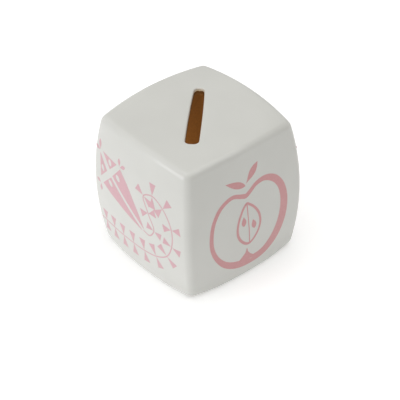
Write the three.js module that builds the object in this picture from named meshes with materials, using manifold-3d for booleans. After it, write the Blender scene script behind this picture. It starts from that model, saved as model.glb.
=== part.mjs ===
// Ceramic cube money box: a hollow slip-cast shell with crowned faces, a coin slot across
// the diagonal of its top, and a soft stopper pushed into the emptying hole in its base.
// Millimetres, +Z up. The origin is on the resting surface, under the middle of the cube.
import * as THREE from "three";
import { mergeVertices } from "three/addons/utils/BufferGeometryUtils.js";
import Module from "manifold-3d";

const wasm = await Module();
wasm.setup();

// Ceramic shell.
const WIDTH = 70; // across the middles of opposite sides
const HEIGHT = 70;
const WALL = 3.5; // side walls and top
const BASE = 5; // thickness of the base at its foot
const EDGE_ROUND = 3; // fillet rolled along every edge
const CAVITY_ROUND = 3; // and along the cavity's edges
const SIDE_CROWN_ACROSS = 0.07; // share of its reach that a side loses at its upright edges
const SIDE_CROWN_UPRIGHT = 0.09; // and at its upper and lower edges
const CORNER_DRAW = 0.055; // share of the half height that the top and bottom lose at a corner
const FOOT_SHARE = 0.25; // how far out, as x squared times y squared, the bottom stays flat

// Coin slot, running from the back left corner towards the front right corner.
const SLOT_LENGTH = 40;
const SLOT_WIDTH = 6.1;
const SLOT_CORNER = 2.3;

// Emptying hole, inside a shallow round recess that leaves a flat foot around it.
const HOLE_RADIUS = 18;
const RECESS_RADIUS = 22.5;
const RECESS_DEPTH = 1.6;

// Stopper: a flange under the base, a plug in the hole, and a dish with a rib to pinch.
const FLANGE_RADIUS = 20.5;
const FLANGE_THICKNESS = 1;
const FLANGE_GAP = 0.3; // between the flange and the recess that it seats against
const PLUG_RADIUS = 17.7;
const PLUG_TAPER = 0.4; // how much the plug narrows towards its inner end
const PLUG_CHAMFER = 0.9;
const PLUG_TOP = 8.4; // height of the plug's inner end
const DISH_RADIUS = 12.5;
const DISH_TOP = 6.4;
const RIB_WIDTH = 3.6;

// Fineness of the curved surfaces.
const FLAT_STEPS = 8;
const ROUND_STEPS = 3;
const TURN_STEPS = 64;
const CUT = 2; // how far a cutting shape runs past the surface that it cuts

function solidFrom(geometry) {
  const bare = geometry.clone();
  bare.deleteAttribute("normal");
  bare.deleteAttribute("uv");
  const merged = mergeVertices(bare, 1e-4);
  const vertProperties = merged.attributes.position.array;
  const triVerts = new Uint32Array(merged.index.array);
  return new wasm.Manifold(new wasm.Mesh({ numProp: 3, vertProperties, triVerts }));
}

function geometryFrom(solid) {
  const mesh = solid.getMesh();
  const geometry = new THREE.BufferGeometry();
  geometry.setAttribute("position", new THREE.BufferAttribute(mesh.vertProperties, 3));
  geometry.setIndex(new THREE.BufferAttribute(mesh.triVerts, 1));
  const faceted = geometry.toNonIndexed();
  faceted.computeVertexNormals();
  return faceted;
}

// Grid lines across one face: even steps over its flat, then even turns round each fillet.
function gridLines(flat, round) {
  const outer = [];
  for (let i = 1; i <= ROUND_STEPS; i++) {
    const turn = (i / ROUND_STEPS) * (Math.PI / 4);
    outer.push(flat + round * Math.tan(turn));
  }
  const middle = [];
  for (let i = 0; i <= FLAT_STEPS; i++) {
    middle.push(flat * ((2 * i) / FLAT_STEPS - 1));
  }
  return [...outer.map((line) => -line).reverse(), ...middle, ...outer];
}

// A block with rolled edges, whose sides then draw in towards their edges, and whose top and
// bottom draw in towards their corners. It is centred on the origin.
function crownedBlock(halfWidth, halfHeight, round) {
  const half = new THREE.Vector3(halfWidth, halfWidth, halfHeight);
  const flat = half.clone().subScalar(round);
  const lines = ["x", "y", "z"].map((axis) => gridLines(flat[axis], round));
  const steps = lines[0].length - 1;
  const geometry = new THREE.BoxGeometry(2, 2, 2, steps, steps, steps);
  const position = geometry.attributes.position;
  const point = new THREE.Vector3();
  const core = new THREE.Vector3();
  for (let i = 0; i < position.count; i++) {
    point.fromBufferAttribute(position, i);
    point.fromArray(
      point.toArray().map((share, axis) => lines[axis][Math.round(((share + 1) / 2) * steps)]),
    );
    core.copy(point).clamp(flat.clone().negate(), flat);
    point.sub(core).setLength(round).add(core);
    const across = point.clone().divide(half);
    const [x2, y2, z2] = across.toArray().map((share) => share * share);
    const flatShare = point.z > 0 ? 0 : FOOT_SHARE;
    point.x *= 1 - SIDE_CROWN_ACROSS * y2 - SIDE_CROWN_UPRIGHT * z2;
    point.y *= 1 - SIDE_CROWN_ACROSS * x2 - SIDE_CROWN_UPRIGHT * z2;
    point.z *= 1 - CORNER_DRAW * Math.max(0, x2 * y2 - flatShare);
    position.setXYZ(i, point.x, point.y, point.z);
  }
  return geometry;
}

// A solid of revolution about Z, from [radius, height] corners that start and end on the axis.
function turned(corners) {
  const points = corners.map(([radius, height]) => new THREE.Vector2(radius, height));
  return new THREE.LatheGeometry(points, TURN_STEPS).rotateX(Math.PI / 2);
}

// The slot along X.
function roundedSlot(length, width, corner, height) {
  const [x, y] = [length / 2, width / 2];
  const outline = new THREE.Shape();
  outline.moveTo(x, y - corner);
  outline.absarc(x - corner, y - corner, corner, 0, Math.PI / 2);
  outline.absarc(corner - x, y - corner, corner, Math.PI / 2, Math.PI);
  outline.absarc(corner - x, corner - y, corner, Math.PI, 1.5 * Math.PI);
  outline.absarc(x - corner, corner - y, corner, 1.5 * Math.PI, 2 * Math.PI);
  const depth = { depth: height, bevelEnabled: false, curveSegments: 6 };
  return new THREE.ExtrudeGeometry(outline, depth);
}

function ceramicShell() {
  const cavityTop = HEIGHT - WALL;
  const cavityHalf = (cavityTop - BASE) / 2;
  const outside = crownedBlock(WIDTH / 2, HEIGHT / 2, EDGE_ROUND).translate(0, 0, HEIGHT / 2);
  const cavity = crownedBlock(WIDTH / 2 - WALL, cavityHalf, CAVITY_ROUND);
  cavity.translate(0, 0, cavityTop - cavityHalf);
  const slot = roundedSlot(SLOT_LENGTH, SLOT_WIDTH, SLOT_CORNER, WALL + 2 * CUT);
  slot.rotateZ(-Math.PI / 4).translate(0, 0, cavityTop - CUT);
  const baseOpening = turned([
    [0, -CUT],
    [RECESS_RADIUS, -CUT],
    [RECESS_RADIUS, RECESS_DEPTH],
    [HOLE_RADIUS, RECESS_DEPTH],
    [HOLE_RADIUS, BASE + CUT],
    [0, BASE + CUT],
  ]);
  return [cavity, slot, baseOpening].reduce(
    (shell, cutter) => shell.subtract(solidFrom(cutter)),
    solidFrom(outside),
  );
}

function stopper() {
  const flangeTop = RECESS_DEPTH - FLANGE_GAP;
  const flangeBottom = flangeTop - FLANGE_THICKNESS;
  const turnedBody = turned([
    [0, DISH_TOP],
    [DISH_RADIUS, DISH_TOP],
    [DISH_RADIUS, flangeBottom],
    [FLANGE_RADIUS, flangeBottom],
    [FLANGE_RADIUS, flangeTop],
    [PLUG_RADIUS, flangeTop],
    [PLUG_RADIUS - PLUG_TAPER, PLUG_TOP - PLUG_CHAMFER],
    [PLUG_RADIUS - PLUG_TAPER - PLUG_CHAMFER, PLUG_TOP],
    [0, PLUG_TOP],
  ]);
  const ribHeight = DISH_TOP + RIB_WIDTH / 4 - flangeBottom;
  const rib = new THREE.BoxGeometry(2 * DISH_RADIUS + 1, RIB_WIDTH, ribHeight);
  rib.translate(0, 0, flangeBottom + ribHeight / 2);
  return solidFrom(turnedBody).add(solidFrom(rib));
}

const whiteGlaze = new THREE.MeshStandardMaterial({ color: 0xdfdfda, roughness: 0.38, metalness: 0 });
const softPlastic = new THREE.MeshStandardMaterial({ color: 0xd9d6cc, roughness: 0.6, metalness: 0 });

const moneyBox = new THREE.Group();
[
  ["ceramic_shell", ceramicShell(), whiteGlaze],
  ["base_stopper", stopper(), softPlastic],
].forEach(([name, solid, material]) => {
  const mesh = new THREE.Mesh(geometryFrom(solid), material);
  mesh.name = name;
  moneyBox.add(mesh);
});

export default moneyBox;
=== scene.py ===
"""Looks of the ceramic cube money box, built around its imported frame.

Metres, +Z up. The origin is on the resting surface, under the middle of the cube.
The halved apple is on the +X side and the kite on the -Y side.
Each shows again on the side opposite.
"""
import math

import bmesh
import bpy
import numpy as np
from mathutils import Matrix, Vector
from mathutils.geometry import delaunay_2d_cdt


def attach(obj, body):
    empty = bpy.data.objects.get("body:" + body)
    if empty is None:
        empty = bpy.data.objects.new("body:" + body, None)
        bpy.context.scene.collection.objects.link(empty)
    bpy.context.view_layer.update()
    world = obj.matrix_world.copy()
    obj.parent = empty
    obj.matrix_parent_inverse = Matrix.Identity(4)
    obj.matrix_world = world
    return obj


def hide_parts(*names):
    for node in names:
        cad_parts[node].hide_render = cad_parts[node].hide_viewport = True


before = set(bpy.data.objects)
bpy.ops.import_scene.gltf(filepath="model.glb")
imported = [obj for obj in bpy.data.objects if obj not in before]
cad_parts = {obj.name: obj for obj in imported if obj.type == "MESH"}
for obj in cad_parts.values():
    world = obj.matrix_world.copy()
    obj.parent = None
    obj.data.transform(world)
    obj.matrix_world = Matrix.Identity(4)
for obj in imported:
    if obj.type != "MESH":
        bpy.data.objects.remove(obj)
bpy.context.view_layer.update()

MM = 0.001

# Ceramic shell, as in the frame.
WIDTH = 70 * MM
HEIGHT = 70 * MM
WALL = 3.5 * MM
BASE = 5 * MM
EDGE_ROUND = 3 * MM
CAVITY_ROUND = 3 * MM
SIDE_CROWN_ACROSS = 0.07  # share of its reach that a side loses at its upright edges
SIDE_CROWN_UPRIGHT = 0.09  # and at its upper and lower edges
CORNER_DRAW = 0.055  # share of the half height that the top and bottom lose at a corner
FOOT_SHARE = 0.25  # how far out, as x squared times y squared, the bottom stays flat
SLOT_LENGTH = 40 * MM
SLOT_WIDTH = 6.1 * MM
SLOT_CORNER = 2.3 * MM
HOLE_RADIUS = 18 * MM
RECESS_RADIUS = 22.5 * MM
RECESS_DEPTH = 1.6 * MM

# The slot's narrower back end and the softened edges, which only the fine surface has.
SLOT_NARROWING = 0.28  # share of its width that the slot has lost at its back end
SLOT_LIP = 0.7 * MM
INNER_LIP = 0.7 * MM
FOOT_LIP = 0.5 * MM
RECESS_CORNER = 0.9 * FOOT_LIP
HOLE_LIP = 0.6 * MM

# Where the white glaze stops and bare clay begins.
GLAZE_IN_SLOT = 1.4 * MM
GLAZE_FADE = 0.35 * MM
THIN_GLAZE = 0.08  # how much clay shows through the glaze on the slot's lip
FOOT_GLAZE = 1 / 16  # share of the way from the foot's outer edge to its inner one
FOOT_LIP_BARE = 0.9  # how far round the foot's lip the clay stays bare, as a sine
HOLE_GLAZE_END = 0.3  # where on the hole's lip the glaze starts to fade, as a sine
HOLE_GLAZE_FADE = 0.6

# Stopper, as in the frame.
FLANGE_RADIUS = 20.5 * MM
FLANGE_BOTTOM = 0.3 * MM
FLANGE_TOP = 1.3 * MM
PLUG_RADIUS = 17.7 * MM
PLUG_TAPER = 0.4 * MM
PLUG_CHAMFER = 0.9 * MM
PLUG_TOP = 8.4 * MM
DISH_RADIUS = 12.5 * MM
DISH_TOP = 6.4 * MM
RIB_WIDTH = 3.6 * MM

# The stopper's seal grooves and softened edges, which only the fine surface has.
GROOVE_HEIGHTS = (3.2 * MM, 5.2 * MM)
GROOVE_DEPTH = 0.35 * MM
GROOVE_RUNOUT = 0.6 * MM
DISH_CHAMFER = 0.6 * MM
RIB_OVERLAP = 0.8 * MM  # how far the rib runs into the dish's wall and top
SOFT_EDGE = 0.28 * MM
SHARP_ANGLE = 40  # edges that turn by more than this are softened

# Fineness of the shell and the stopper.
FLAT_STEPS = 32
ROUND_STEPS = 6
LIP_STEPS = 6
END_STEPS = 2
CORNER_STEPS = 9
SIDE_STEPS = FLAT_STEPS - END_STEPS - CORNER_STEPS
TOP_RINGS = 14
SLOT_RINGS = 6
FOOT_RINGS = 7
RECESS_RINGS = 4
FLOOR_RINGS = 5
TURN_STEPS = 96
WELD = 0.002 * MM
INVERSE_PASSES = 30  # each comes closer to undoing the draw of the sides

# Prints: films of colour in the glaze.
PRINT_RISE = 0.03 * MM  # how far a film stands out of the shell
PRINT_SINK = 0.05 * MM  # how far it reaches into it
PRINT_STEP = 0.6 * MM  # along its curves
PRINT_FILL = 1.5 * MM  # between the points that fill it
FILL_MARGIN = 0.6 * PRINT_STEP
LEAF_STEPS = 12
OVAL_STEPS = 20
BOW_GAP = 0.4  # from the tail's string to a bow's tip, in millimetres
BOW_FLARE = 2  # half of a bow's wide end, in millimetres

# Glaze: a thin smooth layer over the satin one, which gives the crisp highlights.
GLAZE_COAT = 0.4
COAT_ROUGHNESS = 0.12
GLAZE_SPECULAR = 0.25  # of the satin layer

# Camera.
CAMERA_AZIMUTH = 51
CAMERA_ELEVATION = 38.49
CAMERA_ROLL = -1.73
CAMERA_DISTANCE = 15.868 * WIDTH
CAMERA_LENS = 227.05
CAMERA_SENSOR = 36
AIM_RIGHT = 0.0155 * WIDTH
AIM_UP = -0.1312 * WIDTH

# Light: how bright the surroundings are towards -X, their tint towards +X, and the lamps.
SIDE_GLOW = 0.536
WARM_SIDE = (1, 0.96, 0.8)
LAMP_DISTANCE = 1.3
WINDOW_AZIMUTH = -18
WINDOW_ELEVATION = 13
WINDOW_SIZE = 0.6
WINDOW_POWER = 5.05
WINDOW_TINT = (0.95, 0.96, 1)
OVERHEAD_AZIMUTH = 90
OVERHEAD_ELEVATION = 80
OVERHEAD_SIZE = 1.6
OVERHEAD_POWER = 15.1
OVERHEAD_TINT = (1, 1, 1)
INNER_RISE = 1 * MM  # of the cavity's lamp over the stopper
INNER_POWER = 0.039
INNER_TINT = (1, 0.88, 0.55)

# Studio floor.
FLOOR_HALF = 1.5
FLOOR_DROP = 0.05 * MM  # keeps it clear of the foot
FLOOR_GLOW = 0.293


# ---------------------------------------------------------------- mesh tools


class Skin:
    """Collects grids of quads, with a share of bare clay at each point, into one welded mesh."""

    def __init__(self):
        self.points = []
        self.bare = []
        self.faces = []
        self.count = 0

    def grid(self, points, bare, outward=True, closed=False, skip=None):
        """points is rows x columns x 3. closed joins the last column to the first.

        skip(row, column) says which quads to leave out.
        """
        rows, columns = points.shape[:2]
        last = columns if closed else columns - 1
        for r in range(rows - 1):
            for c in range(last):
                if skip and skip(r, c):
                    continue
                d = (c + 1) % columns
                corners = [(r, c), (r, d), (r + 1, d), (r + 1, c)]
                if not outward:
                    corners.reverse()
                self.faces.append([self.count + a * columns + b for a, b in corners])
        self.points.append(points.reshape(-1, 3))
        self.bare.append(np.broadcast_to(bare, (rows, columns)).reshape(-1))
        self.count += rows * columns

    def build(self, name):
        mesh = bpy.data.meshes.new(name)
        points = np.concatenate(self.points)
        mesh.from_pydata(points.tolist(), [], self.faces)
        bare = mesh.attributes.new("bare", "FLOAT", "POINT")
        bare.data.foreach_set("value", np.concatenate(self.bare).astype(np.float32))
        work = bmesh.new()
        work.from_mesh(mesh)
        drop_loose_points(work)
        bmesh.ops.remove_doubles(work, verts=work.verts, dist=WELD)
        work.to_mesh(mesh)
        work.free()
        mesh.shade_smooth()
        return show(mesh)


def drop_loose_points(work):
    loose = [point for point in work.verts if not point.link_faces]
    bmesh.ops.delete(work, geom=loose, context="VERTS")


def show(mesh):
    """Puts a mesh into the scene."""
    piece = bpy.data.objects.new(mesh.name, mesh)
    bpy.context.scene.collection.objects.link(piece)
    return piece


def smooth_step(value):
    share = np.clip(value, 0, 1)
    return share * share * (3 - 2 * share)


# ---------------------------------------------------------------- the crowned block


def corner_draw(outness, height):
    """What the top and bottom keep of their height; the bottom stays flat in its middle."""
    return 1 - CORNER_DRAW * np.maximum(0, outness - np.where(height > 0, 0, FOOT_SHARE))


class CrownedBlock:
    """A block with rolled edges, whose sides then draw in towards their edges.

    Its top and bottom draw in towards their corners.
    """

    def __init__(self, half_width, low, high, rolled):
        self.half = np.array([half_width, half_width, (high - low) / 2])
        self.middle = (high + low) / 2
        self.rolled = rolled
        self.flat = self.half - rolled

    def place(self, box_points):
        """Where points on the plain box go on the crowned block."""
        core = np.clip(box_points, -self.flat, self.flat)
        out = box_points - core
        points = core + out * self.rolled / np.linalg.norm(out, axis=-1, keepdims=True)
        x2, y2, z2 = np.moveaxis((points / self.half) ** 2, -1, 0)
        drawn_in = [
            1 - SIDE_CROWN_ACROSS * y2 - SIDE_CROWN_UPRIGHT * z2,
            1 - SIDE_CROWN_ACROSS * x2 - SIDE_CROWN_UPRIGHT * z2,
            corner_draw(x2 * y2, points[..., 2]),
        ]
        return points * np.stack(drawn_in, -1) + [0, 0, self.middle]

    def lines(self, axis):
        """Grid lines across a face: even over its flat, then even turns round each fillet."""
        turns = np.arange(1, ROUND_STEPS + 1) / ROUND_STEPS * math.pi / 4
        outer = self.flat[axis] + self.rolled * np.tan(turns)
        middle = np.linspace(-self.flat[axis], self.flat[axis], FLAT_STEPS + 1)
        return np.concatenate([-outer[::-1], middle, outer])

    def face(self, axis, sign):
        """The grid of one face, rows and columns along the two axes that follow it."""
        rows, columns = (axis + 1) % 3, (axis + 2) % 3
        points = np.empty((2 * ROUND_STEPS + FLAT_STEPS + 1,) * 2 + (3,))
        points[..., axis] = sign * self.half[axis]
        points[..., rows] = self.lines(rows)[:, None]
        points[..., columns] = self.lines(columns)[None, :]
        return self.place(points)

    def square_loop(self, sign):
        """The flat's outline on the top or bottom, counterclockwise from the +X, -Y corner."""
        along = np.linspace(-1, 1, FLAT_STEPS, endpoint=False)
        one = np.ones(FLAT_STEPS)
        x = np.concatenate([one, -along, -one, along]) * self.flat[0]
        y = np.concatenate([along, one, -along, -one]) * self.flat[1]
        return self.place(np.stack([x, y, np.full(x.shape, sign * self.half[2])], 1))

    def flat_height(self, x, y, sign):
        """Height of the top's or bottom's flat at a place, by undoing the draw of the sides."""
        u, v = x / self.half[0], y / self.half[1]
        s, t = u, v
        for _ in range(INVERSE_PASSES):
            s = u / (1 - SIDE_CROWN_UPRIGHT - SIDE_CROWN_ACROSS * t * t)
            t = v / (1 - SIDE_CROWN_UPRIGHT - SIDE_CROWN_ACROSS * s * s)
        return self.middle + sign * self.half[2] * corner_draw(s * s * t * t, sign)

    def side_reach(self, u, v):
        """How far out a side's flat is, u along it from its middle and v up from the middle."""
        s, t = u / self.half[0], v / self.half[2]
        for _ in range(INVERSE_PASSES):
            s = u / self.half[0] / (1 - SIDE_CROWN_ACROSS - SIDE_CROWN_UPRIGHT * t * t)
            t = v / self.half[2] / corner_draw(s * s, t)
        return self.half[1] * (1 - SIDE_CROWN_ACROSS * s * s - SIDE_CROWN_UPRIGHT * t * t)


OUTSIDE = CrownedBlock(WIDTH / 2 - PRINT_RISE, 0, HEIGHT - PRINT_RISE, EDGE_ROUND)
CAVITY = CrownedBlock(WIDTH / 2 - WALL, BASE, HEIGHT - WALL, CAVITY_ROUND)


# ---------------------------------------------------------------- ceramic shell


def slot_loop(grow):
    """Points round the slot, counterclockwise from the middle of its front end, grown outwards."""
    reach = SLOT_LENGTH / 2 + grow
    half = SLOT_WIDTH / 2 + grow
    corner = SLOT_CORNER + grow
    turn = np.linspace(0, math.pi / 2, CORNER_STEPS, endpoint=False)
    end = np.linspace((reach, 0), (reach, half - corner), END_STEPS, endpoint=False)
    arc = np.stack([reach - corner * (1 - np.cos(turn)), half - corner * (1 - np.sin(turn))], 1)
    side = np.linspace((reach - corner, half), (0, half), SIDE_STEPS + 1)
    quarter = np.concatenate([end, arc, side])
    mirrored = (quarter * [-1, 1])[::-1]
    half_turn = np.concatenate([quarter[:-1], mirrored[:-1]])
    along, across = np.concatenate([half_turn, -half_turn]).T
    across = across * (1 - SLOT_NARROWING * (0.5 - along / SLOT_LENGTH) ** 3)
    return np.stack([along + across, across - along], 1) / math.sqrt(2)


def circle_loop(radius):
    """Points round a circle, counterclockwise from its +X, -Y diagonal."""
    turn = math.tau * np.arange(4 * FLAT_STEPS) / (4 * FLAT_STEPS) - math.pi / 4
    return radius * np.stack([np.cos(turn), np.sin(turn)], 1)


def with_height(loop, height):
    """Points in a plan as points in space, at one height or at one for each point."""
    return np.column_stack([loop, np.broadcast_to(height, len(loop))])


def blend_loops(first, last, steps):
    """Loops from first to last, without either."""
    return [first + (last - first) * step / steps for step in range(1, steps)]


def quarter_turn(steps):
    """Sine and cosine pairs from 0 to 90 degrees, both ends included."""
    turns = np.linspace(0, math.pi / 2, steps + 1)
    return zip(np.sin(turns), np.cos(turns))


def slot_and_top(skin):
    """The top's flat outside, the lip, the slot's wall, and the cavity's ceiling, in one sheet."""
    loops, bare = [OUTSIDE.square_loop(1)], [0.0]

    def add(loop, height, bareness):
        loops.append(with_height(loop, height))
        bare.append(bareness)

    for loop in blend_loops(loops[0][:, :2], slot_loop(SLOT_LIP), TOP_RINGS):
        add(loop, OUTSIDE.flat_height(*loop.T, 1), 0)
    for sine, cosine in quarter_turn(LIP_STEPS):
        loop = slot_loop(SLOT_LIP * (1 - sine))
        thinning = THIN_GLAZE * float(smooth_step(sine))
        add(loop, OUTSIDE.flat_height(*loop.T, 1) - SLOT_LIP * (1 - cosine), thinning)
    rim = slot_loop(0)
    above = OUTSIDE.flat_height(*rim.T, 1) - SLOT_LIP
    below = CAVITY.flat_height(*rim.T, 1) + INNER_LIP
    for step in range(1, SLOT_RINGS):
        drop = (above - below) * step / SLOT_RINGS
        depth = SLOT_LIP + float(drop.mean())
        share = (depth - GLAZE_IN_SLOT) / GLAZE_FADE + 0.5
        add(rim, above - drop, max(THIN_GLAZE, float(smooth_step(share))))
    for sine, cosine in quarter_turn(LIP_STEPS):
        loop = slot_loop(INNER_LIP * (1 - cosine))
        add(loop, CAVITY.flat_height(*loop.T, 1) + INNER_LIP * (1 - sine), 1)
    ceiling_edge = CAVITY.square_loop(1)
    for loop in blend_loops(slot_loop(INNER_LIP), ceiling_edge[:, :2], TOP_RINGS):
        add(loop, CAVITY.flat_height(*loop.T, 1), 1)
    loops.append(ceiling_edge)
    bare.append(1)
    skin.grid(np.stack(loops), np.array(bare)[:, None], closed=True)


def foot_and_hole(skin):
    """The foot, the recess, the emptying hole, and the cavity's floor, in one sheet."""
    loops, bare = [OUTSIDE.square_loop(-1)], [0.0]

    def add(radius, height, bareness):
        loops.append(with_height(circle_loop(radius), height))
        bare.append(bareness)

    outer_edge = loops[0][:, :2]
    foot_edge = circle_loop(RECESS_RADIUS + FOOT_LIP)
    glaze_end = outer_edge + (foot_edge - outer_edge) * FOOT_GLAZE
    for loop in [glaze_end, *blend_loops(glaze_end, foot_edge, FOOT_RINGS)]:
        loops.append(with_height(loop, OUTSIDE.flat_height(*loop.T, -1)))
        bare.append(1.0)
    for sine, cosine in quarter_turn(LIP_STEPS):
        bareness = 1 if sine < FOOT_LIP_BARE else 0
        add(RECESS_RADIUS + FOOT_LIP * (1 - sine), FOOT_LIP * (1 - cosine), bareness)
    for sine, cosine in quarter_turn(LIP_STEPS):
        height = RECESS_DEPTH - RECESS_CORNER * (1 - sine)
        add(RECESS_RADIUS - RECESS_CORNER * (1 - cosine), height, 0)
    recess_edge = RECESS_RADIUS - RECESS_CORNER
    hole_edge = HOLE_RADIUS + HOLE_LIP
    for step in range(1, RECESS_RINGS):
        add(recess_edge + (hole_edge - recess_edge) * step / RECESS_RINGS, RECESS_DEPTH, 0)
    for sine, cosine in quarter_turn(LIP_STEPS):
        bareness = float(smooth_step((sine - HOLE_GLAZE_END) / HOLE_GLAZE_FADE))
        height = RECESS_DEPTH + HOLE_LIP * (1 - cosine)
        add(HOLE_RADIUS + HOLE_LIP * (1 - sine), height, bareness)
    for sine, cosine in quarter_turn(LIP_STEPS):
        add(HOLE_RADIUS + HOLE_LIP * (1 - cosine), BASE - HOLE_LIP * (1 - sine), 1)
    floor_edge = CAVITY.square_loop(-1)
    for loop in blend_loops(circle_loop(hole_edge), floor_edge[:, :2], FLOOR_RINGS):
        loops.append(with_height(loop, CAVITY.flat_height(*loop.T, -1)))
        bare.append(1)
    loops.append(floor_edge)
    bare.append(1)
    skin.grid(np.stack(loops), np.array(bare)[:, None], outward=False, closed=True)


def ceramic_shell():
    skin = Skin()
    flat = range(ROUND_STEPS, ROUND_STEPS + FLAT_STEPS)

    def in_flat(row, column):
        return row in flat and column in flat

    for block, bare in ((OUTSIDE, 0.0), (CAVITY, 1.0)):
        for axis in range(3):
            for sign in (1, -1):
                holed = in_flat if axis == 2 else None
                outward = (sign > 0) == (block is CAVITY)
                skin.grid(block.face(axis, sign), bare, outward=outward, skip=holed)
    slot_and_top(skin)
    foot_and_hole(skin)
    return skin.build("glazed_shell")


# ---------------------------------------------------------------- stopper


def turned(name, corners):
    """A closed mesh of revolution about Z from (radius, height) corners, from axis to axis."""
    work = bmesh.new()
    points = [work.verts.new((radius, 0, height)) for radius, height in corners]
    edges = [work.edges.new(pair) for pair in zip(points, points[1:])]
    turn = {"axis": (0, 0, 1), "cent": (0, 0, 0), "steps": TURN_STEPS, "angle": math.tau}
    bmesh.ops.spin(work, geom=points + edges, **turn)
    bmesh.ops.remove_doubles(work, verts=work.verts, dist=WELD / 2)
    bmesh.ops.recalc_face_normals(work, faces=work.faces)
    mesh = bpy.data.meshes.new(name)
    work.to_mesh(mesh)
    work.free()
    return show(mesh)


def cuboid(name, low, high):
    work = bmesh.new()
    size = Vector(high) - Vector(low)
    middle = (Vector(high) + Vector(low)) / 2
    placing = Matrix.Translation(middle) @ Matrix.Diagonal((*size, 1))
    bmesh.ops.create_cube(work, size=1, matrix=placing)
    mesh = bpy.data.meshes.new(name)
    work.to_mesh(mesh)
    work.free()
    return show(mesh)


def apply_modifiers(piece):
    bpy.context.view_layer.update()
    seen = piece.evaluated_get(bpy.context.evaluated_depsgraph_get())
    piece.data = bpy.data.meshes.new_from_object(seen)
    piece.modifiers.clear()


def plug_profile():
    """Corners of the stopper's section: dish, flange, and a plug with two shallow seal grooves."""
    profile = [
        (0, DISH_TOP),
        (DISH_RADIUS - DISH_CHAMFER, DISH_TOP),
        (DISH_RADIUS, DISH_TOP - DISH_CHAMFER),
        (DISH_RADIUS, FLANGE_BOTTOM),
        (FLANGE_RADIUS, FLANGE_BOTTOM),
        (FLANGE_RADIUS, FLANGE_TOP),
        (PLUG_RADIUS, FLANGE_TOP),
    ]
    for height in GROOVE_HEIGHTS:
        profile.append((PLUG_RADIUS, height - GROOVE_DEPTH))
        profile.append((PLUG_RADIUS - GROOVE_DEPTH, height))
        profile.append((PLUG_RADIUS - GROOVE_DEPTH / 2, height + GROOVE_RUNOUT))
    inner_radius = PLUG_RADIUS - PLUG_TAPER
    profile.append((inner_radius, PLUG_TOP - PLUG_CHAMFER))
    profile.append((inner_radius - PLUG_CHAMFER, PLUG_TOP))
    profile.append((0, PLUG_TOP))
    return profile


def base_stopper():
    plug = turned("soft_stopper", plug_profile())
    reach = DISH_RADIUS + RIB_OVERLAP
    low = (-reach, -RIB_WIDTH / 2, FLANGE_BOTTOM)
    high = (reach, RIB_WIDTH / 2, DISH_TOP + RIB_OVERLAP)
    rib = cuboid("rib", low, high)
    join = plug.modifiers.new("join", "BOOLEAN")
    join.operation = "UNION"
    join.solver = "EXACT"
    join.object = rib
    soften = plug.modifiers.new("soften", "BEVEL")
    soften.width = SOFT_EDGE
    soften.segments = 3
    soften.limit_method = "ANGLE"
    soften.angle_limit = math.radians(SHARP_ANGLE)
    apply_modifiers(plug)
    bpy.data.objects.remove(rib)
    plug.data.shade_smooth()
    return plug


# ---------------------------------------------------------------- prints


def mm(*rows):
    """Rows of millimetres as an array in metres."""
    return np.array(rows, float) * MM


def smooth(points, closed=False):
    """A curve through a few points, closely stepped."""
    if closed:
        points = np.concatenate([points[-1:], points, points[:2]])
    else:
        first, last = 2 * points[0] - points[1], 2 * points[-1] - points[-2]
        points = np.concatenate([[first], points, [last]])
    chords = np.diff(points, axis=0)
    gaps = np.linalg.norm(chords[:, :2], axis=1)
    slopes = chords / gaps[:, None]
    before, after = gaps[:-1, None], gaps[1:, None]
    tangents = (slopes[:-1] * after + slopes[1:] * before) / (before + after)
    stretches = []
    for i, gap in enumerate(gaps[1:-1]):
        steps = max(2, round(float(gap) / PRINT_STEP))
        t = (np.arange(steps) / steps)[:, None]
        ease = 3 * t**2 - 2 * t**3
        bend = tangents[i] * (t - 2 * t**2 + t**3) + tangents[i + 1] * (t**3 - t**2)
        stretches.append(points[i + 1] + chords[i + 1] * ease + gap * bend)
    if not closed:
        stretches.append(points[-2:-1])
    return np.concatenate(stretches)


def outline(*stretches):
    """A closed outline of smooth stretches, each starting where the one before it ends."""
    return np.concatenate([smooth(mm(*stretch))[:-1] for stretch in stretches])


def straight(*corners):
    """A closed outline with straight sides."""
    return outline(*zip(corners, corners[1:] + corners[:1]))


def brush(*rows, closed=False):
    """A brush stroke through rows of x, y and stroke width."""
    spine = smooth(mm(*rows), closed)
    path, width = spine[:, :2], spine[:, 2:]
    run = np.roll(path, -1, 0) - np.roll(path, 1, 0) if closed else np.gradient(path, axis=0)
    run /= np.linalg.norm(run, axis=1, keepdims=True)
    side = np.stack([-run[:, 1], run[:, 0]], 1) * width / 2
    if closed:
        return [path - side, path + side]
    return [np.concatenate([path - side, (path + side)[::-1]])]


def leaf(base, tip, width, fullest=0.5):
    """A pointed leaf from base to tip, widest at the given share of its length."""
    base, tip = mm(base, tip)
    along = tip - base
    across = np.array([-along[1], along[0]]) / np.linalg.norm(along)
    share = np.linspace(0, 1, LEAF_STEPS + 1)
    bend = math.log(0.5) / math.log(fullest)
    half = np.sin(math.pi * share**bend)[:, None] * across * width * MM / 2
    middle = base + share[:, None] * along
    return [np.concatenate([middle - half, (middle + half)[-2:0:-1]])]


def oval(middle, long, short, tilt):
    """An oval window, its long way tilted by some degrees."""
    turn = np.linspace(0, math.tau, OVAL_STEPS, endpoint=False)
    x, y = long / 2 * np.cos(turn), short / 2 * np.sin(turn)
    cosine, sine = math.cos(math.radians(tilt)), math.sin(math.radians(tilt))
    return (np.stack([x * cosine - y * sine, x * sine + y * cosine], 1) + middle) * MM


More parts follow.
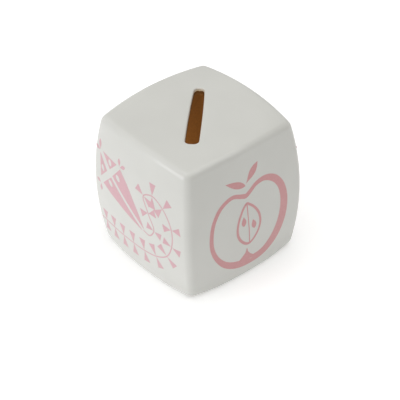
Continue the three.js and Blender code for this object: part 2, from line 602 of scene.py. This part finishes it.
def apple_print():
    """A halved apple: a brush-like outline, its core with two pips, and two leaves."""
    flesh = brush(
        (-1.6, 11.9, 2.4), (-3.7, 12.6, 2.2), (-8.8, 14.4, 2), (-14.5, 12.3, 2.1),
        (-18.8, 6.6, 2), (-20.6, -0.8, 2), (-20.2, -8.9, 2.1), (-17.2, -16, 2.4),
        (-12.4, -21.6, 3.2), (-5.5, -25.1, 4.1), (2.1, -25.9, 4.4), (9.1, -24.8, 4.6),
        (14.3, -20.9, 5.2), (18.5, -13.9, 5.1), (20.5, -5.4, 4.6), (20.3, 2.1, 4.1),
        (18.2, 8.6, 3.6), (14.3, 13.4, 3.3), (8.8, 15.9, 2.6), (4, 15.2, 2.2),
        (0.3, 12.8, 2.3), closed=True,
    )
    core = brush(
        (-1.4, 7.8, 1.1), (-2.5, 6.8, 1.2), (-4.9, 2.8, 1.2), (-6.5, -2.1, 1.2),
        (-6.5, -7.4, 1.3), (-4.2, -12.2, 1.3), (-0.8, -15, 1.3), (0.3, -15.2, 1.2),
        (1.3, -14.7, 1.2), (4.2, -11.8, 1.2), (6, -7.6, 1.2), (5.9, -2.6, 1.2),
        (3.9, 2.2, 1.2), (0.2, 6.6, 1.1), closed=True,
    )
    calyx = mm(
        (-7.3, -24.9), (-3.3, -21.6), (-1.8, -19.9), (-1.1, -17.5),
        (-0.2, -20.1), (1.6, -22.4), (5.3, -25.3),
    )
    return [
        flesh,
        [smooth(calyx)],
        core,
        brush((-1.3, 7.5, 0.6), (-0.8, 0, 0.5), (-0.2, -7.5, 0.5), (0.2, -14.6, 0.6)),
        leaf((-3.1, -4.2), (-3.3, 1.2), 2.6, 0.42),
        leaf((3, -8), (1.9, -2.6), 2.6, 0.42),
        leaf((-1.4, 17), (-11.9, 22.3), 3.3, 0.4),
        leaf((-1, 18), (6.4, 25.9), 3.6, 0.57),
    ]


def tail_bow(string, x, y, reach):
    """Two triangles that flare away from the tail's string, one on each side of it."""
    at = int(np.linalg.norm(string - mm((x, y)), axis=1).argmin())
    along = string[at + 1] - string[at - 1]
    along /= np.linalg.norm(along)
    across = np.array([-along[1], along[0]])
    triangles = []
    for out in (across, -across):
        tips = [(BOW_GAP, 0), (reach, -BOW_FLARE), (reach, BOW_FLARE)]
        corners = [tuple((x, y) + far * out + aside * along) for far, aside in tips]
        triangles.append([straight(*corners)])
    return triangles


def kite_print():
    """A kite of four windowed panels, leaves at its corners, and a long looping tail of bows."""
    right = outline(
        [(5.3, -6.7), (1.9, -0.1), (-1.8, 5.7), (-5.6, 11), (-11.1, 16.6)],
        [(-11.1, 16.6), (-16.7, 9.7)],
        [(-16.7, 9.7), (5.3, -6.7)],
    )
    left = outline(
        [(4.1, -7.9), (-5.2, -5.1), (-12.9, -2.4), (-17.9, -0.7), (-24.1, 1.8)],
        [(-24.1, 1.8), (-17.8, 8.3)],
        [(-17.8, 8.3), (4.1, -7.9)],
    )
    # Where each bow sits on the tail's string, and how far its triangles reach.
    bows = [
        (11.7, -3.7, 4.5), (8.4, 4.4, 4.9), (5.4, 12.2, 5.3), (10.9, 14.8, 6.3),
        (17.4, 11.6, 6.1), (22.8, 3, 5.1), (22.5, -6.6, 5.1), (18.9, -13.8, 5.9),
        (11.5, -18.2, 6.3), (3.6, -19.7, 6.4), (-3.9, -20.1, 6.4), (-11.2, -20.3, 6.3),
        (-18.2, -20.4, 6.2), (-24.8, -20.4, 5.9),
    ]
    string = [(4.7, -7.3), (8.2, -8), *[(x, y) for x, y, _ in bows], (-28.7, -20.4)]
    path = smooth(mm(*string))
    flags = [triangle for bow in bows for triangle in tail_bow(path, *bow)]
    return [
        [right, oval((-12.7, 10.9), 3.6, 2.4, -45)],
        [left, oval((-18.3, 4.9), 3.6, 2.3, -40)],
        [straight((-24.4, 18.3), (-18.7, 12.2), (-13.7, 17.4)), oval((-18.8, 15.5), 3.3, 2.2, -68)],
        [straight((-26.5, 16.7), (-25.7, 4.7), (-20.9, 10)), oval((-24.3, 9.7), 3.4, 1.9, -69)],
        brush(*[(x, y, 0.6) for x, y in string]),
        leaf((-26.6, 18), (-27.3, 23.2), 1.8, 0.6),
        leaf((-26.9, 17.8), (-30.2, 18.8), 1.8, 0.6),
        leaf((-11.7, 17.7), (-12.2, 21.7), 1.8, 0.6),
        leaf((-11.3, 17.5), (-7.5, 19.3), 1.9, 0.6),
        leaf((-26.2, 0.6), (-29.2, 1.7), 1.7, 0.6),
        leaf((-26, 0.2), (-26, -3.6), 1.7, 0.6),
        *flags,
    ]


def inside(patch, points):
    """Which points lie inside a patch: an outline, less any holes in it."""
    crossings = np.zeros(len(points), int)
    for loop in patch:
        x, y = points[:, :1], points[:, 1:]
        (x1, y1), (x2, y2) = loop.T, np.roll(loop, -1, axis=0).T
        spans = (y1 > y) != (y2 > y)
        rise = np.where(y2 == y1, 1, y2 - y1)
        crossings += (spans & (x < (x2 - x1) * (y - y1) / rise + x1)).sum(axis=1)
    return crossings % 2 == 1


def fill_points(patches):
    """Points inside the wide patches, so that the film bends with the face."""
    loops = np.concatenate([loop for patch in patches for loop in patch])
    low, high = loops.min(0), loops.max(0)
    columns, rows = (np.arange(a, b, PRINT_FILL) for a, b in zip(low, high))
    spots = np.stack(np.meshgrid(columns, rows), -1).reshape(-1, 2)
    spots = spots[np.any([inside(patch, spots) for patch in patches], axis=0)]
    gap = np.linalg.norm(spots[:, None] - loops[None], axis=-1).min(axis=1)
    return spots[gap > FILL_MARGIN]


def triangulate(patches):
    """Flat points and triangles that fill the patches."""
    points, edges = [], []
    for patch in patches:
        for loop in patch:
            start, count = len(points), len(loop)
            points += loop.tolist()
            edges += [(start + i, start + (i + 1) % count) for i in range(count)]
    points += fill_points(patches).tolist()
    scale = 1 / MM
    flat = [Vector((x * scale, y * scale)) for x, y in points]
    whole_hull, tolerance = 0, 1e-4
    flat, _, triangles, *_ = delaunay_2d_cdt(flat, edges, [], whole_hull, tolerance)
    flat = np.array([tuple(p) for p in flat]) / scale
    middles = flat[np.array(triangles)].mean(axis=1)
    kept = np.any([inside(patch, middles) for patch in patches], axis=0)
    return flat, [t for t, keep in zip(triangles, kept) if keep]


def rim_faces(triangles, count):
    """Quads along the edges that only one triangle has, down to the points count further on."""
    directed = {(t[i], t[(i + 1) % 3]) for t in triangles for i in range(3)}
    rims = [(a, b) for a, b in sorted(directed) if (b, a) not in directed]
    return [(a + count, b + count, b, a) for a, b in rims]


def film(name, patches, quarter_turns, shaded_side_share):
    """The patches as one closed film on a side: the -Y side turned by quarter turns about Z.

    The last argument is the share of the deeper pink, from 0 to 1: the deeper pink is painted shade
    for the darker apple sides, the paler pink painted light for the brighter kite sides.
    """
    flat, triangles = triangulate(patches)
    u, v = flat.T
    reach = OUTSIDE.side_reach(u, v)
    height = v + OUTSIDE.middle
    top = np.stack([u, -reach - PRINT_RISE, height], 1)
    bottom = np.stack([u, -reach + PRINT_SINK, height], 1)
    count = len(flat)
    under = [tuple(i + count for i in reversed(t)) for t in triangles]
    faces = triangles + under + rim_faces(triangles, count)
    mesh = bpy.data.meshes.new(name)
    mesh.from_pydata(np.concatenate([top, bottom]).tolist(), [], faces)
    mesh.transform(Matrix.Rotation(quarter_turns * math.pi / 2, 4, "Z"))
    work = bmesh.new()
    work.from_mesh(mesh)
    drop_loose_points(work)
    work.to_mesh(mesh)
    work.free()
    share = mesh.attributes.new("shaded_side_share", "FLOAT", "POINT")
    share.data.foreach_set("value", np.full(len(mesh.vertices), shaded_side_share, np.float32))
    return show(mesh)


# ---------------------------------------------------------------- materials


class Nodes:
    """Short ways to make the nodes of one material."""

    def __init__(self, name):
        self.material = bpy.data.materials.new(name)
        self.material.use_nodes = True
        self.tree = self.material.node_tree
        self.shader = self.tree.nodes["Principled BSDF"]
        self.place = self.new("ShaderNodeTexCoord").outputs["Object"]

    def new(self, kind, **values):
        """A node with the given settings, or the given values on its inputs."""
        node = self.tree.nodes.new(kind)
        for key, value in values.items():
            if hasattr(node, key):
                setattr(node, key, value)
            else:
                node.inputs[key.replace("_", " ").title()].default_value = value
        return node

    def link(self, source, target):
        self.tree.links.new(source, target)

    def noise(self, size, detail=3.0, roughness=0.5):
        """Noise whose features are about size metres across."""
        node = self.new("ShaderNodeTexNoise", scale=1 / size, detail=detail, roughness=roughness)
        self.link(self.place, node.inputs["Vector"])
        return node.outputs["Fac"]

    def ramp(self, source, *stops):
        """Maps a value to another through (position, value) or (position, colour) stops."""
        node = self.new("ShaderNodeValToRGB")
        elements = node.color_ramp.elements
        while len(elements) < len(stops):
            elements.new(0.5)
        for element, (position, value) in zip(elements, stops):
            element.position = position
            element.color = (value,) * 3 + (1,) if np.isscalar(value) else (*value, 1)
        self.link(source, node.inputs["Fac"])
        return node.outputs["Color"]

    def mix(self, share, first, second):
        """Mixes two colours. A mix node's colours go in at 6 and 7 and come out at 2."""
        node = self.new("ShaderNodeMix", data_type="RGBA")
        self.link(share, node.inputs["Factor"])
        self.link(first, node.inputs[6])
        self.link(second, node.inputs[7])
        return node.outputs[2]

    def bump(self, height, distance, strength=1.0, under=None):
        node = self.new("ShaderNodeBump")
        node.inputs["Distance"].default_value = distance
        node.inputs["Strength"].default_value = strength
        self.link(height, node.inputs["Height"])
        if under:
            self.link(under, node.inputs["Normal"])
        return node.outputs["Normal"]


def glazed_ceramic():
    """Satin white glaze with a soft bloom, over a dark brown where the clay is bare, partly the
    clay's own colour and partly painted shade and painted warm bounce light of the cavity.
    """
    n = Nodes("glazed_ceramic")
    attribute = n.new("ShaderNodeAttribute", attribute_name="bare").outputs["Fac"]

    # The edge of the bare clay wanders a little.
    wander = n.ramp(n.noise(1.6 * MM), (0.3, 0.0), (0.7, 1.0))
    uneven = n.new("ShaderNodeMath", operation="MULTIPLY_ADD")
    n.link(wander, uneven.inputs[0])
    uneven.inputs[1].default_value = 0.5
    n.link(attribute, uneven.inputs[2])
    bareness = uneven.outputs[0]
    bare = n.ramp(bareness, (0.55, 0.0), (0.75, 1.0))

    # Where the glaze is thin, on the slot's lip, it turns cream.
    cloud = n.noise(22 * MM, 2)
    white = n.ramp(cloud, (0.35, (0.655, 0.655, 0.62)), (0.65, (0.675, 0.675, 0.64)))
    speckle = n.noise(1.2 * MM, 3)
    cream = n.ramp(speckle, (0.3, (0.74, 0.6, 0.47)), (0.7, (0.78, 0.66, 0.54)))
    glaze = n.mix(n.ramp(attribute, (0.0, 0.0), (0.25, 1.0)), white, cream)
    # Dark brown bare clay: partly the clay's own colour, partly painted shade and painted warm
    # bounce light from inside the cavity.
    clay = n.noise(0.9 * MM, 6, 0.65)
    clay_and_painted_shade = n.ramp(clay, (0.3, (0.132, 0.052, 0.012)), (0.7, (0.175, 0.075, 0.02)))
    n.link(n.mix(bare, glaze, clay_and_painted_shade), n.shader.inputs["Base Color"])

    satin = n.ramp(n.noise(3 * MM, 4), (0.3, 0.34), (0.7, 0.4))
    grainy = n.ramp(n.noise(0.6 * MM, 4), (0.3, 0.8), (0.7, 0.95))
    n.link(n.mix(bare, satin, grainy), n.shader.inputs["Roughness"])
    coat = n.ramp(bareness, (0.55, GLAZE_COAT), (0.75, 0.0))
    n.link(coat, n.shader.inputs["Coat Weight"])
    n.shader.inputs["Coat Roughness"].default_value = COAT_ROUGHNESS
    n.shader.inputs["Specular IOR Level"].default_value = GLAZE_SPECULAR
    waves = n.bump(n.noise(7 * MM, 2), 0.05 * MM, 0.5)
    peel = n.bump(n.noise(0.8 * MM, 2), 0.008 * MM, 0.5, under=waves)
    n.link(peel, n.shader.inputs["Normal"])
    return n.material


def pink_print():
    """Fired-on pink under the same satin glaze, a little uneven like any transfer print."""
    n = Nodes("pink_print")
    shaded_side_share = n.new("ShaderNodeAttribute", attribute_name="shaded_side_share").outputs["Fac"]
    grain = n.noise(1.2 * MM, 5, 0.6)
    # Paler pink for the brighter kite sides and deeper pink for the darker apple sides: painted
    # light and painted shade.
    lit_side_pink = n.ramp(grain, (0.3, (0.63, 0.37, 0.41)), (0.7, (0.66, 0.4, 0.44)))
    full = n.ramp(grain, (0.3, (0.615, 0.295, 0.3)), (0.7, (0.645, 0.325, 0.33)))
    n.link(n.mix(shaded_side_share, lit_side_pink, full), n.shader.inputs["Base Color"])
    n.link(n.ramp(n.noise(3 * MM, 4), (0.3, 0.36), (0.7, 0.44)), n.shader.inputs["Roughness"])
    n.shader.inputs["Coat Weight"].default_value = GLAZE_COAT
    n.shader.inputs["Coat Roughness"].default_value = COAT_ROUGHNESS
    n.link(n.bump(n.noise(0.8 * MM, 2), 0.008 * MM, 0.5), n.shader.inputs["Normal"])
    n.shader.inputs["Specular IOR Level"].default_value = GLAZE_SPECULAR
    return n.material


def soft_plastic():
    """Milky soft plastic with a fine moulded texture."""
    n = Nodes("soft_plastic")
    milky = n.ramp(n.noise(6 * MM, 3), (0.3, (0.62, 0.6, 0.54)), (0.7, (0.68, 0.66, 0.6)))
    n.link(milky, n.shader.inputs["Base Color"])
    n.link(n.ramp(n.noise(0.5 * MM, 4), (0.3, 0.45), (0.7, 0.6)), n.shader.inputs["Roughness"])
    n.link(n.bump(n.noise(0.35 * MM, 3), 0.02 * MM, 0.5), n.shader.inputs["Normal"])
    return n.material


def pale_sweep():
    """Plain pale studio floor, lit a little from within like an acrylic table."""
    n = Nodes("pale_sweep")
    pale = n.ramp(n.noise(60 * MM, 2), (0.3, 0.9), (0.7, 0.92))
    n.link(pale, n.shader.inputs["Base Color"])
    n.shader.inputs["Roughness"].default_value = 0.9
    n.shader.inputs["Specular IOR Level"].default_value = 0.1
    n.shader.inputs["Emission Color"].default_value = (1, 1, 1, 1)
    n.shader.inputs["Emission Strength"].default_value = FLOOR_GLOW
    return n.material


# ---------------------------------------------------------------- studio


def studio_floor():
    mesh = bpy.data.meshes.new("studio_floor")
    corners = [(-1, -1), (1, -1), (1, 1), (-1, 1)]
    points = [(x * FLOOR_HALF, y * FLOOR_HALF, -FLOOR_DROP) for x, y in corners]
    mesh.from_pydata(points, [], [(0, 1, 2, 3)])
    mesh.materials.append(pale_sweep())
    return show(mesh)


def studio_light(name, azimuth, elevation, size, power, tint):
    """A square soft light that looks at the middle of the cube."""
    light = bpy.data.lights.new(name, "AREA")
    light.size = size
    light.energy = power
    light.color = tint
    lamp = bpy.data.objects.new(name, light)
    bpy.context.scene.collection.objects.link(lamp)
    back = direction(azimuth, elevation)
    lamp.location = Vector((0, 0, HEIGHT / 2)) + back * LAMP_DISTANCE
    lamp.rotation_euler = back.to_track_quat("Z", "Y").to_euler()


def direction(azimuth, elevation):
    """Unit vector towards a viewer who looks along +Y from azimuth 0."""
    a, e = math.radians(azimuth), math.radians(elevation)
    return Vector((math.sin(a) * math.cos(e), -math.cos(a) * math.cos(e), math.sin(e)))


def camera():
    """The photograph's camera, fitted to the cube's outline, edges and slot."""
    back = direction(CAMERA_AZIMUTH, CAMERA_ELEVATION)
    level = Vector((0, 0, 1)).cross(back).normalized()
    upright = back.cross(level)
    roll = math.radians(CAMERA_ROLL)
    right = level * math.cos(roll) + upright * math.sin(roll)
    up = upright * math.cos(roll) - level * math.sin(roll)
    data = bpy.data.cameras.new("camera")
    data.lens = CAMERA_LENS
    data.sensor_width = CAMERA_SENSOR
    eye = bpy.data.objects.new("camera", data)
    bpy.context.scene.collection.objects.link(eye)
    place = Vector((0, 0, HEIGHT / 2)) + right * AIM_RIGHT + up * AIM_UP + back * CAMERA_DISTANCE
    turn = Matrix((right, up, back)).transposed().to_4x4()
    eye.matrix_world = Matrix.Translation(place) @ turn
    bpy.context.scene.camera = eye


def surroundings():
    """Surroundings that fade from white towards -X to a warm dark towards +X."""
    world = bpy.data.worlds.new("surroundings")
    world.use_nodes = True
    tree = world.node_tree
    split = tree.nodes.new("ShaderNodeSeparateXYZ")
    tree.links.new(tree.nodes.new("ShaderNodeTexCoord").outputs["Generated"], split.inputs[0])
    share = tree.nodes.new("ShaderNodeMapRange")
    share.inputs["From Min"].default_value = -1
    tree.links.new(split.outputs["X"], share.inputs["Value"])
    tint = tree.nodes.new("ShaderNodeValToRGB")
    tint.color_ramp.elements[0].color = (SIDE_GLOW, SIDE_GLOW, SIDE_GLOW, 1)
    half_warm = [SIDE_GLOW / 2 * (1 + part) / 2 for part in WARM_SIDE]
    tint.color_ramp.elements.new(0.5).color = (*half_warm, 1)
    tint.color_ramp.elements[2].color = (0, 0, 0, 1)
    tree.links.new(share.outputs["Result"], tint.inputs["Fac"])
    tree.links.new(tint.outputs["Color"], tree.nodes["Background"].inputs["Color"])
    tree.nodes["Background"].inputs["Strength"].default_value = 1
    return world


def inner_glow():
    """A soft lamp over the stopper that stands in for the daylight inside the cavity."""
    glow = bpy.data.lights.new("inner_glow", "AREA")
    glow.shape = "DISK"
    glow.size = 2 * HOLE_RADIUS
    glow.energy = INNER_POWER
    glow.color = INNER_TINT
    lamp = bpy.data.objects.new("inner_glow", glow)
    lamp.location = (0, 0, PLUG_TOP + INNER_RISE)
    lamp.rotation_euler = (math.pi, 0, 0)
    lamp.visible_camera = False
    bpy.context.scene.collection.objects.link(lamp)


def lighting():
    scene = bpy.context.scene
    scene.view_settings.view_transform = "Standard"
    scene.world = surroundings()
    window = (WINDOW_AZIMUTH, WINDOW_ELEVATION, WINDOW_SIZE, WINDOW_POWER, WINDOW_TINT)
    studio_light("window", *window)
    overhead = (OVERHEAD_AZIMUTH, OVERHEAD_ELEVATION, OVERHEAD_SIZE, OVERHEAD_POWER, OVERHEAD_TINT)
    studio_light("overhead", *overhead)
    inner_glow()


# ---------------------------------------------------------------- assembly


def finish_piece(piece, body, slot, material, *nodes):
    """Gives a piece its material and body, and hides the CAD nodes that it stands in for."""
    piece.data.materials.clear()
    piece.data.materials.append(material)
    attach(piece, body)
    if nodes:
        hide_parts(*nodes)


finish_piece(ceramic_shell(), "shell", "white_glaze", glazed_ceramic(), "ceramic_shell")
finish_piece(base_stopper(), "stopper", "stopper_plastic", soft_plastic(), "base_stopper")
pink = pink_print()
# The kite sides take the paler pink, painted light, and the apple sides the deeper pink, painted
# shade.
for name, patches, quarter_turns, shaded_side_share in (
    ("kite_print_front", kite_print(), 0, 0.0),
    ("apple_print_right", apple_print(), 1, 1.0),
    ("kite_print_back", kite_print(), 2, 0.0),
    ("apple_print_left", apple_print(), 3, 1.0),
):
    finish_piece(film(name, patches, quarter_turns, shaded_side_share), "shell", "pink_print", pink)

studio_floor()
camera()
lighting()
